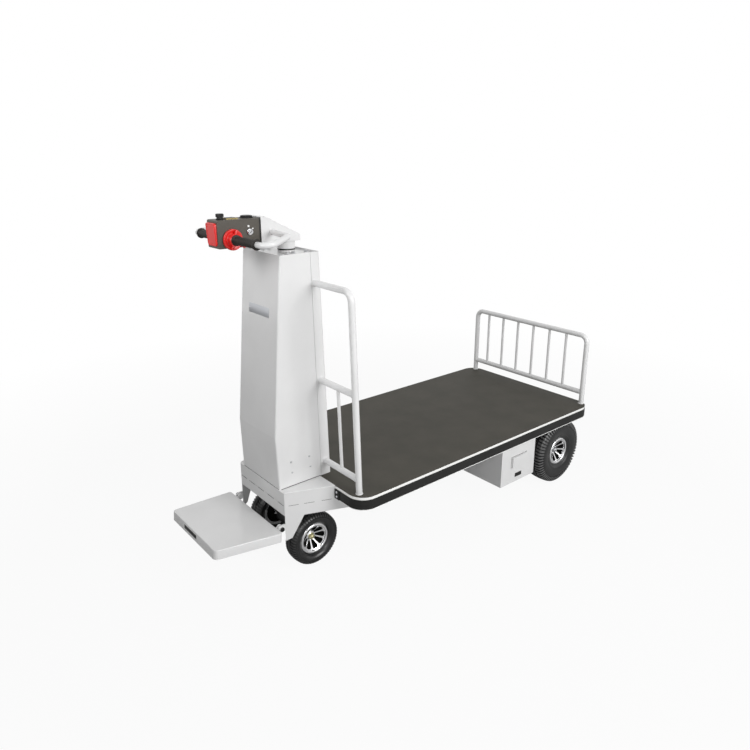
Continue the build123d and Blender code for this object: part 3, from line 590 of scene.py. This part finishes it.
# The axle's body, the radius of the rim's well, then how far out from the wheel's middle the lip, the dish
# at the rim, the dish at the hub and the nut's seat lie, and the nut's finish
front_hub = ("steering", 54.0, 21.0, 11.0, -13.0, -5.0, yellow_zinc)
rear_hub = ("chassis", 57.0, 38.0, 28.0, 4.0, 12.0, zinc_steel)
hub_fits = {
    "front_wheel_left": front_hub,
    "front_wheel_right": front_hub,
    "rear_wheel_left": rear_hub,
    "rear_wheel_right": rear_hub,
}
for body, (axle_body, well, lip_face, dish_rim, dish_hub, seat, nut_finish) in hub_fits.items():
    x, y, z = wheels[body][4]
    outward = Vector((0.0, math.copysign(1.0, y), 0.0))
    disc_edge = well - disc_clearance
    disc = [(disc_hole, dish_hub - disc_front), (disc_edge, dish_rim - disc_front)]
    disc += [(disc_edge, dish_rim - disc_back), (disc_hole, dish_hub - disc_back)]
    form = bmesh.new()
    turn(form, disc, at(x, y, z), outward, 64, closed=True)
    # The disc's matt black is painted shade in the windows between the spokes
    dress(body + "_painted_shade_disc", form, shade_black, body)
    form = bmesh.new()
    turn(form, [(well + r, lip_face + h) for r, h in bead_profile], at(x, y, z), outward, 96, closed=True)
    dress(body + "_bead", form, rim_metal, body, 50.0)
    form = bmesh.new()
    for profile, steps in ((washer_profile, 32), (nut_profile, 6), (stud_profile, 24)):
        turn(form, profile, at(x, y + seat * outward.y, z), outward, steps)
    dress(body + "_nut", form, nut_finish, axle_body)
print("backing discs, beads and nuts:", 3 * len(hub_fits))

# %% [markdown]
# Two kinds of fastener are used all over the truck: a domed screw with a sunk socket, and a hex bolt on a
# washer. They could be copies of one object, but spinning each in its place lets a whole set share one mesh.
# Each is given a form, a place, the way it points and a size.

# %% Fasteners
def round_screw(form, place, axis, radius, height):
    """A domed screw head with a socket sunk in its middle."""
    dome = [(radius, -0.4), (radius, 0.25 * height), (0.86 * radius, 0.7 * height), (0.58 * radius, height)]
    turn(form, dome + [(0.5 * radius, height), (0.46 * radius, 0.45 * height)], place, axis, 18)


def hex_bolt(form, place, axis, across, height):
    """A plain washer under a hex head with a chamfered top."""
    washer = 0.72 * across
    turn(form, [(washer - 0.3, -0.3), (washer, 0.2), (washer, 1.2), (washer - 0.4, 1.6)], place, axis, 28)
    corner = across / math.sqrt(3.0)
    turn(form, [(corner, 1.4), (corner, height - 0.8), (0.88 * corner, height)], place, axis, 6)


print("fasteners: a domed screw and a hex bolt")

# %% [markdown]
# Screws hold the column's sheet covers and the bumper's end plates, and bolts hold the column's top plate.
# The column narrows as it rises, so a helper gives the side's place at a height. All the screws of one finish
# are joined into one mesh, because they never move apart.

# %% Screws and bolts of the chassis
both_sides = (-1.0, 1.0)
upward = (0.0, 0.0, 1.0)
deck_top = 371.0
column_rise = 901.0
column_foot_half = 141.0
column_taper = 9.5


def column_side(z):
    """Half the column's width at a height, from its straight taper."""
    return column_foot_half - column_taper * (z - deck_top) / column_rise


cover_screws = ((-131.0, 474.0), (-46.0, 473.0), (-127.0, 428.0), (-42.0, 428.0))
cover_lean = 0.0105
end_plate_y = 258.0
end_plate_screws = (328.5, 347.5)
form = bmesh.new()
for side in both_sides:
    for x, z in cover_screws:
        round_screw(form, at(x, side * column_side(z), z), (0.0, side, cover_lean), 4.2, 2.2)
    for z in end_plate_screws:
        round_screw(form, at(-3.0, side * end_plate_y, z), (-1.0, 0.0, 0.0), 5.2, 3.0)
dress("cover_screws", form, zinc_steel, "chassis")

top_plate_z = 1266.0
top_bolt_y = 86.0
form = bmesh.new()
for side in both_sides:
    for x in (-78.0, -50.0, 4.0):
        hex_bolt(form, at(x, side * top_bolt_y, top_plate_z), upward, 13.0, 8.5)
dress("top_plate_bolts", form, zinc_steel, "chassis")
print("screws and bolts on the chassis: 18")

# %% [markdown]
# Plates, strips and fins are blocks, but no real block has sharp edges, and a sharp edge catches no light. A
# Bevel modifier on each object would do. Here a helper rounds a block at once and adds it to a form, so that
# a plate and its screws can be one piece.

# %% Blocks with rounded edges
def rounded_block(form, size, round_mm, place, tilt=None):
    """A block of a size in millimetres with rounded edges, centred on a place and tilted if asked."""
    block = bmesh.new()
    bmesh.ops.create_cube(block, size=1.0)
    bmesh.ops.scale(block, vec=Vector(size) / 1000.0, verts=block.verts)
    edges = list(block.edges)
    bmesh.ops.bevel(block, geom=edges, offset=round_mm / 1000.0, segments=3, profile=0.5, affect="EDGES")
    move = Matrix.Translation(place) @ (tilt or Matrix.Identity(4))
    bmesh.ops.transform(block, matrix=move, verts=block.verts)
    scratch = bpy.data.meshes.new("scratch")
    block.to_mesh(scratch)
    block.free()
    form.from_mesh(scratch)
    bpy.data.meshes.remove(scratch)


print("a rounded block has 3 steps along each edge")

# %% [markdown]
# High on the column's front is a plain plate of thin aluminium, held by two screws. It could be a patch of
# colour in the paint, but a real plate casts a thin shadow and shines differently. It lies on the sloping
# sheet, so it takes the sheet's tilt.

# %% Plate on the column
slope_run = 57.0
slope_rise = 686.0
slope_foot_x = -195.0
slope_foot_z = 586.0
column_tilt = Matrix.Rotation(math.atan2(slope_run, slope_rise), 4, "Y")
plate_width = 143.0
plate_height = 36.5
plate_z = 1056.0
plate_x = slope_foot_x + (plate_z - slope_foot_z) * slope_run / slope_rise
form = bmesh.new()
rounded_block(form, (1.4, plate_width, plate_height), 0.4, at(plate_x - 0.4, 0.0, plate_z), column_tilt)
for y in (-66.0, 66.0):
    round_screw(form, at(plate_x - 1.0, y, plate_z), column_tilt @ Vector((-1.0, 0.0, 0.0)), 2.4, 1.2)
dress("blank_plate", form, plate_metal, "chassis")
print("column plate", plate_width, "by", plate_height, "mm")

# %% [markdown]
# Pressed sheet has rounded corners, seen from above. They could be bevelled, but two of the step's corners
# are rounder than the others, so this helper walks round a polygon and puts an arc of its own at each corner.

# %% Outlines with rounded corners
def rounded_outline(corners, radii, steps=8):
    """Points round a flat polygon, taken anticlockwise, with an arc at each corner."""
    points = []
    for index, radius in enumerate(radii):
        here = Vector(corners[index])
        before = (Vector(corners[index - 1]) - here).normalized()
        after = (Vector(corners[(index + 1) % len(corners)]) - here).normalized()
        half_angle = before.angle(after) / 2.0
        centre = here + (before + after).normalized() * radius / math.sin(half_angle)
        start = here + before * radius / math.tan(half_angle) - centre
        start_angle = math.atan2(start.y, start.x)
        for step in range(steps + 1):
            angle = start_angle + (math.pi - 2.0 * half_angle) * step / steps
            points.append(centre + radius * Vector((math.cos(angle), math.sin(angle))))
    return points


square = [(0.0, 0.0), (9.0, 0.0), (9.0, 9.0), (0.0, 9.0)]
print("points round a square with soft corners:", len(rounded_outline(square, [1.0] * 4)))

# %% [markdown]
# The step is one pressed pan, and this mesh stands for the CAD's square-cornered one. Rings of the same
# outline, each a little further in or out, run down inside its skirt, up outside and over its rim. A flat
# sheet with a Solidify modifier would give the skirt but not the soft rim. The step is tipped up about its
# hinge, so a helper tips every place with it.

# %% Pressed step
step_tip = math.radians(4.9)
hinge_x = -205.0
hinge_z = 223.0
step_near = -17.5
step_far = -287.5
near_half = 208.9
far_half = 183.0
near_round = 12.0
far_round = 18.0
inside_of_pan = ((6.0, 2.5), (3.0, 2.5), (3.0, -31.5))
outside_of_pan = ((0.0, -31.5), (0.0, 2.5), (0.4, 4.0), (1.5, 5.1), (3.0, 5.5), (6.0, 5.5))


def on_step(along, y, height):
    """A place on the step, in millimetres from its hinge and level with its own sheet."""
    x = hinge_x + along * math.cos(step_tip) + height * math.sin(step_tip)
    return at(x, y, hinge_z - along * math.sin(step_tip) + height * math.cos(step_tip))


form = bmesh.new()
rings = []
for inset, height in inside_of_pan + outside_of_pan:
    near = step_near - inset
    far = step_far + inset
    near_y = near_half - 1.1 * inset
    far_y = far_half - 0.9 * inset
    corners = [(near, -near_y), (near, near_y), (far, far_y), (far, -far_y)]
    radii = [near_round - inset] * 2 + [far_round - inset] * 2
    outline = rounded_outline(corners, radii)
    rings.append([form.verts.new(on_step(along, y, height)) for along, y in outline])
join_rings(form, rings, closed=False)
step_pan = dress("pressed_step_pan", form, body_paint, "pedal")
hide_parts("pedal_pan")
print("step pan", step_near - step_far, "mm long, faces:", len(step_pan.data.polygons))

# %% [markdown]
# The step's outer edge carries a small black plate, and a black cap covers each hinge pin. They could be
# three objects, but they are of the same plastic and fold with the step, so they are one piece.

# %% Step plate and hinge caps
tipped = Matrix.Rotation(step_tip, 4, "Y")
plate_drop = -11.5
cap_y = 175.3
cap_profile = [(8.8, -0.3), (9.4, 0.6), (9.4, 3.0), (8.0, 4.2), (4.4, 4.4), (4.0, 2.6)]
form = bmesh.new()
rounded_block(form, (1.6, 102.0, 15.0), 0.5, on_step(step_far + 0.1, 19.0, plate_drop), tipped)
for y in (-26.0, 64.0):
    screw_place = on_step(step_far - 0.6, y, plate_drop)
    round_screw(form, screw_place, tipped @ Vector((-1.0, 0.0, 0.0)), 2.2, 0.8)
for side in both_sides:
    turn(form, cap_profile, on_step(0.0, side * cap_y, 0.0), (0.0, side, 0.0), 28)
dress("step_plate_and_caps", form, black_plastic, "pedal")
print("step plate 102 by 15 mm, two hinge caps")

# %% [markdown]
# The grips are vinyl sleeves with moulded rings between two flanges. A bump could draw the rings, but they
# show at the grip's edge, so they are real. One profile, spun about the handle, makes a whole grip, and a
# loop adds the four points of each ring.

# %% Grips
handle_x = -266.0
handle_z = 1329.3
ring_count = 18
ring_pitch = 7.0
first_ring = 72.8
inner_flange = [(10.8, 64.2), (18.4, 64.2), (19.0, 65.0), (19.0, 69.0), (18.2, 70.0), (15.0, 70.6)]
outer_flange = [(15.0, 199.4), (18.2, 200.0), (19.0, 201.0), (19.0, 205.0), (18.0, 205.8), (10.8, 205.8)]
grip = list(inner_flange)
for ring in range(ring_count):
    start = first_ring + ring_pitch * ring
    grip += [(14.0, start), (15.0, start + 0.9), (15.0, start + 4.6), (14.0, start + 5.5)]
grip += outer_flange
form = bmesh.new()
for side in both_sides:
    turn(form, grip, at(handle_x, 0.0, handle_z), (0.0, side, 0.0), 40, closed=True)
grips = dress("ribbed_grips", form, grip_plastic, "steering")
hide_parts("hand_grips")
print("grips", len(grips.data.polygons), "faces")

# %% [markdown]
# The red throttle controls are thumb wheels on the same handle. Each is a wheel with a fin across it and a
# tongue that points down to the thumb. A moulder makes it in one shot. Here the wheel is spun, and fins and
# tongue are rounded blocks sunk into it, because a union would cost many faces and look the same.

# %% Thumb wheels
wheel_profile = [
    (10.8, 37.1), (34.5, 37.1), (37.0, 39.0), (37.0, 43.6), (35.8, 46.0), (32.0, 46.6),
    (24.0, 43.0), (21.0, 44.5), (20.0, 48.0), (19.6, 58.0), (17.6, 60.8), (10.8, 60.8),
]
fin_out = Vector((0.0, 0.0, 0.0235))
fin_leans = (17.0, 197.0)
tongue = Matrix.Rotation(math.radians(31.0), 4, "Y")
form = bmesh.new()
for side in both_sides:
    turn(form, wheel_profile, at(handle_x, 0.0, handle_z), (0.0, side, 0.0), 56, closed=True)
    for lean in fin_leans:
        spin = Matrix.Rotation(math.radians(lean), 4, "Y")
        fin = at(handle_x, side * 49.5, handle_z) + spin @ fin_out
        rounded_block(form, (9.0, 18.0, 25.0), 3.0, fin, spin)
    rounded_block(form, (36.0, 13.0, 14.0), 4.0, at(handle_x + 29.0, side * 46.0, handle_z - 17.5), tongue)
butterflies = dress("thumb_wheels", form, red_plastic, "steering", 50.0)
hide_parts("throttle_butterflies")
print("thumb wheels", len(butterflies.data.polygons), "faces")

# %% [markdown]
# On top of the control box are a knurled knob and the flat stop button. The button is spun. The knob's head
# could be spun and then cut, but it is simpler to draw its rings with a notch at every second point, which
# gives it teeth for the fingers.

# %% Knob and stop button
box_top = 1396.8
knob_x = -290.0
stop_x = -188.0
teeth = 24
notch_depth = 0.9
notched_from = 12.0
knob_foot = [(13.2, 0.0), (13.6, 0.5), (13.6, 2.4), (11.4, 3.4), (11.0, 9.0)]
knob_head = [(11.2, 8.0), (14.0, 9.0), (14.0, 18.2), (12.4, 19.8), (7.5, 20.0)]
stop_collar = [(23.4, 0.0), (24.0, 0.6), (24.0, 2.6), (22.6, 3.4), (20.4, 3.6)]
stop_button = [(21.0, 5.0), (21.0, 7.0), (19.0, 8.6), (12.0, 9.0)]
form = bmesh.new()
turn(form, knob_foot, at(knob_x, 0.0, box_top), upward, 36)
rings = []
for radius, height in knob_head:
    ring = []
    for step in range(2 * teeth):
        notch = notch_depth if step % 2 and radius > notched_from else 0.0
        angle = math.pi * step / teeth
        reach = radius - notch
        place = at(knob_x + reach * math.cos(angle), reach * math.sin(angle), box_top + height)
        ring.append(form.verts.new(place))
    rings.append(ring)
join_rings(form, rings, closed=False)
turn(form, stop_collar + stop_button, at(stop_x, 0.0, box_top), upward, 48)
buttons = dress("knob_and_stop_button", form, black_plastic, "steering", 40.0)
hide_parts("head_buttons")
print("knob with", teeth, "teeth, stop button 42 mm across")

# %% [markdown]
# On the box's near side is the key switch with two small lamps beside it. The CAD's plain barrel gets a
# bright ring, a black bezel and a slot for the key. Ring and bezel are closed profiles, which the lathe
# leaves hollow, so that the barrel still shows in the middle.

# %% Key switch and lamps
box_half = 37.0
key_x = -196.0
key_z = 1351.3
key_face = at(key_x, -box_half, key_z)
nearward = (0.0, -1.0, 0.0)
key_turn = Matrix.Rotation(math.radians(35.0), 4, "Y")
key_ring = [(9.2, -0.3), (11.4, -0.3), (11.4, 2.4), (10.8, 3.2), (9.6, 3.2), (9.2, 2.8)]
key_bezel = [(11.3, -0.3), (12.8, -0.3), (12.8, 0.9), (12.2, 1.6), (11.3, 1.6)]
lamps = ((-201.0, 1371.0, 3.8), (-184.0, 1362.0, 2.4))
form = bmesh.new()
turn(form, key_ring, key_face, nearward, 36, closed=True)
dress("key_ring", form, rim_metal, "steering")
form = bmesh.new()
turn(form, key_bezel, key_face, nearward, 36, closed=True)
rounded_block(form, (2.2, 0.8, 10.0), 0.3, at(key_x, -45.2, key_z), key_turn)
dress("key_bezel_and_slot", form, black_plastic, "steering")
form = bmesh.new()
for x, z, radius in lamps:
    lens = [(radius, -0.3), (radius, 0.8), (0.7 * radius, 1.8), (0.3 * radius, 2.1)]
    turn(form, lens, at(x, -box_half, z), nearward, 20)
dress("panel_lamps", form, trim_paint, "steering")
print("key switch dressed, lamps:", len(lamps))

# %% [markdown]
# The charge meter's frame is in the CAD. Here it gets a dark window with four screws, and seven white marks
# for its scale, of which every third is longer. The marks are printed on a real meter. As thin blocks they
# need no picture and stay sharp from close by.

# %% Charge meter
meter_x = -253.0
window_height = 4.2
mark_count = 7
mark_pitch = 4.0
first_mark = -265.0
form = bmesh.new()
rounded_block(form, (34.0, 28.0, 1.2), 0.5, at(meter_x, 0.0, box_top + window_height))
for x in (meter_x - 14.0, meter_x + 14.0):
    for y in (-11.0, 11.0):
        round_screw(form, at(x, y, box_top + window_height + 0.5), upward, 1.4, 0.7)
dress("meter_window", form, black_plastic, "steering")
form = bmesh.new()
for index in range(mark_count):
    length = 9.0 if index % 3 == 0 else 5.0
    place = at(first_mark + mark_pitch * index, 0.0, box_top + window_height + 0.75)
    rounded_block(form, (1.2, length, 0.4), 0.1, place)
dress("meter_marks", form, trim_paint, "steering")
print("meter marks:", mark_count)

# %% [markdown]
# The red belly pad stands out of the box towards the operator, who can stop the truck with it, so it has a
# soft rim and a sunk middle, and it is thicker at the top. A block with a subdivision surface would come out
# too round. Rings of a rounded outline keep its flat face. They start from the box round the CAD's pad, and
# the mesh stands for that pad.

# %% Belly pad
pad_low, pad_high = (Vector(corner) * 1000.0 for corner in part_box("belly_button"))
pad_round = 10.0
thin = 4.0
thicker = 6.0
pad_steps = ((0.0, 0.0), (0.0, 0.55), (0.6, 0.85), (1.8, 1.0), (5.0, 1.0), (5.8, 0.86), (9.0, 0.86))
form = bmesh.new()
rings = []
for inset, share in pad_steps:
    left = pad_low.y + inset
    right = pad_high.y - inset
    foot = pad_low.z + inset
    head = pad_high.z - inset
    corners = [(left, foot), (right, foot), (right, head), (left, head)]
    ring = []
    for y, z in rounded_outline(corners, [max(pad_round - inset, 2.0)] * 4):
        thick = thin + thicker * (z - pad_low.z) / (pad_high.z - pad_low.z)
        ring.append(form.verts.new(Vector((pad_high.x - share * thick, y, z)) / 1000.0))
    rings.append(ring)
join_rings(form, rings, closed=False)
belly_pad = dress("belly_pad", form, red_plastic, "steering")
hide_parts("belly_button")
print("belly pad", round(pad_high.y - pad_low.y, 1), "by", round(pad_high.z - pad_low.z, 1), "mm")

# %% [markdown]
# The box is moulded in two halves that meet near its back, and a thin black frame covers the joint. Four
# strips would meet in open corners, so it is one closed loop of rings that stands a little proud of the box.

# %% Joint of the control box
box_low = 1299.8
joint_front = -157.5
joint_back = -152.0
proud = 0.9
edge = [(box_half, box_low), (box_half, box_top), (-box_half, box_top), (-box_half, box_low)]
form = bmesh.new()
rings = []
for x, grow in ((joint_front, 0.0), (joint_front, proud), (joint_back, proud), (joint_back, 0.0)):
    ring = []
    for y, z in edge:
        spread = math.copysign(grow, y)
        lift = grow if z > box_low else -grow
        ring.append(form.verts.new(at(x, y + spread, z + lift)))
    rings.append(ring)
join_rings(form, rings, closed=True)
dress("box_joint_frame", form, black_plastic, "steering")
print("joint frame", joint_back - joint_front, "mm wide")

# %% [markdown]
# The nose is folded from sheets that meet along a line level with the deck's underside. The welder left short
# gaps between the stitches. Cutting them would change the CAD's sheets, so the shade in each gap is painted
# as a thin near-black strip set into the joint. Longer strips are painted shade where the column's covers
# stand on the tray, and along the hinge line above the battery box's door.

# %% Sheet joints
nose_front = -187.0
nose_front_half = 170.0
nose_flare = math.radians(21.6)


def nose_side(x):
    """Half the nose's width at a place along the truck."""
    return nose_front_half + (x - nose_front) * math.tan(nose_flare)


seam_z = 314.0
base_z = 372.2
battery_x = 981.5
battery_side = -380.0
door_hinge_z = 247.0
form = bmesh.new()
for y in (-142.0, -68.0, 6.0, 80.0, 144.0):
    rounded_block(form, (0.8, 44.0, 1.4), 0.3, at(nose_front, y, seam_z))
for side in both_sides:
    flared = Matrix.Rotation(side * nose_flare, 4, "Z")
    for x in (-154.0, -96.0, -32.0):
        rounded_block(form, (40.0, 0.8, 1.4), 0.3, at(x, side * nose_side(x), seam_z), flared)
    rounded_block(form, (184.0, 0.8, 2.2), 0.3, at(-88.0, side * column_foot_half, base_z))
rounded_block(form, (0.8, 268.0, 1.8), 0.3, at(nose_front - 1.0, 0.0, base_z + 0.2))
rounded_block(form, (116.0, 0.8, 1.8), 0.3, at(battery_x, battery_side, door_hinge_z))
# The near-black strips are painted shade in the gaps of the joints
dress("painted_joint_shade", form, shade_black, "chassis")
print("seam", seam_z, "mm above the floor")

# %% [markdown]
# The nose tray has a folded lip along its front and its two flared sides, which catches a bright line of
# light. It takes the rails' whiter paint, a painted highlight on top of that real one. A curve with a bevel
# could follow it, but three straight blocks with rounded edges are enough. The battery door carries a small
# dark plate with two screws.

# %% Tray lip and battery plate
lip_z = 369.6
lip_middle = -101.5
door_plate_z = 146.0
form = bmesh.new()
rounded_block(form, (4.0, 332.0, 3.0), 1.2, at(nose_front - 0.4, 0.0, lip_z))
for side in both_sides:
    flared = Matrix.Rotation(side * nose_flare, 4, "Z")
    rounded_block(form, (180.0, 3.0, 3.0), 1.2, at(lip_middle, side * nose_side(lip_middle), lip_z), flared)
# The lip's whiter paint is a painted highlight along the tray's edge
dress("tray_front_lip", form, rail_paint, "chassis")
form = bmesh.new()
rounded_block(form, (48.0, 1.2, 20.0), 0.4, at(battery_x - 0.5, battery_side - 0.2, door_plate_z))
for x in (961.0, 1001.0):
    round_screw(form, at(x, battery_side - 0.7, door_plate_z), nearward, 2.2, 1.0)
dress("battery_plate", form, black_plastic, "chassis")
print("tray lip and battery plate added")

# %% [markdown]
# The rails are welded tubes. A bead of weld, painted over, shows as a soft collar where a rail meets the
# column or the deck and where a bar meets a rail. A plain torus would look like a rubber ring, so the bead's
# thickness ripples, like the dabs of the welder's torch.

# %% How a weld bead is made
ripple = 0.14
steps_in_dab = 4
bead_sides = 8


def weld_ring(form, place, axis, ring_mm, bead_mm, dabs):
    """A rippled ring of weld round a tube."""
    move = stand_on(place, axis)
    steps = dabs * steps_in_dab
    rings = []
    for step in range(steps):
        angle = 2.0 * math.pi * step / steps
        thick = bead_mm * (1.0 + ripple * math.sin(dabs * angle))
        ring = []
        for side in range(bead_sides):
            bead_angle = 2.0 * math.pi * side / bead_sides
            reach = ring_mm + thick * math.cos(bead_angle)
            height = thick * math.sin(bead_angle)
            point = Vector((reach * math.cos(angle), reach * math.sin(angle), height)) / 1000.0
            ring.append(form.verts.new(move @ point))
        rings.append(ring)
    join_rings(form, rings, closed=True)


print("points in one dab of weld:", steps_in_dab * bead_sides)

# %% [markdown]
# The front rails lean forward as they rise, so a helper gives their place at a height. The loops then go from
# joint to joint: the feet on the deck, the rails at the column, the cross rails and the upright bars. All the
# beads are one mesh, because none of them moves.

# %% Weld beads of the rails
rail_foot_x = 34.0
rail_top_rise = 787.0
rail_lean = 29.0 / rail_top_rise
cross_rises = (405.0, 59.0)
rear_rail_x = 1495.0
rear_rail_half = 362.0
front_rail_half = 355.0
front_rail_axis = (-0.037, 0.0, 1.0)
front_cross_end = 342.9
rear_cross_end = 349.9
rear_cross_z = 431.0
bar_ends = (443.2, 717.8)
foot_z = deck_top + 0.3
bar_count = 6
bar_pitch = 2.0 * rear_rail_half / (bar_count + 1)
bar_offset = 18.0
sideways = (0.0, 1.0, 0.0)
# Radius of the ring and thickness of the bead in millimetres, and number of dabs
tube_weld = (12.8, 1.8, 10)
cross_weld = (12.6, 1.5, 10)
bar_weld = (6.6, 1.2, 8)


def rail_x(rise):
    """Where the leaning front rail stands at a height above the deck."""
    return rail_foot_x - rail_lean * rise


form = bmesh.new()
for side in both_sides:
    weld_ring(form, at(rear_rail_x, side * rear_rail_half, foot_z), upward, *tube_weld)
    weld_ring(form, at(rail_x(0.0), side * front_rail_half, foot_z), front_rail_axis, *tube_weld)
    for rise in (rail_top_rise, *cross_rises):
        z = deck_top + rise
        weld_ring(form, at(rail_x(rise), side * (column_side(z) + 0.4), z), sideways, *tube_weld)
    for rise in cross_rises:
        weld_ring(form, at(rail_x(rise), side * front_cross_end, deck_top + rise), sideways, *cross_weld)
    weld_ring(form, at(rear_rail_x, side * rear_cross_end, rear_cross_z), sideways, *cross_weld)
for index in range(bar_count):
    y = bar_offset - rear_rail_half + (index + 1) * bar_pitch
    for z in bar_ends:
        weld_ring(form, at(rear_rail_x, y, z), upward, *bar_weld)
welds = dress("rail_welds", form, rail_paint, "chassis", 60.0)
print("weld faces:", len(welds.data.polygons))
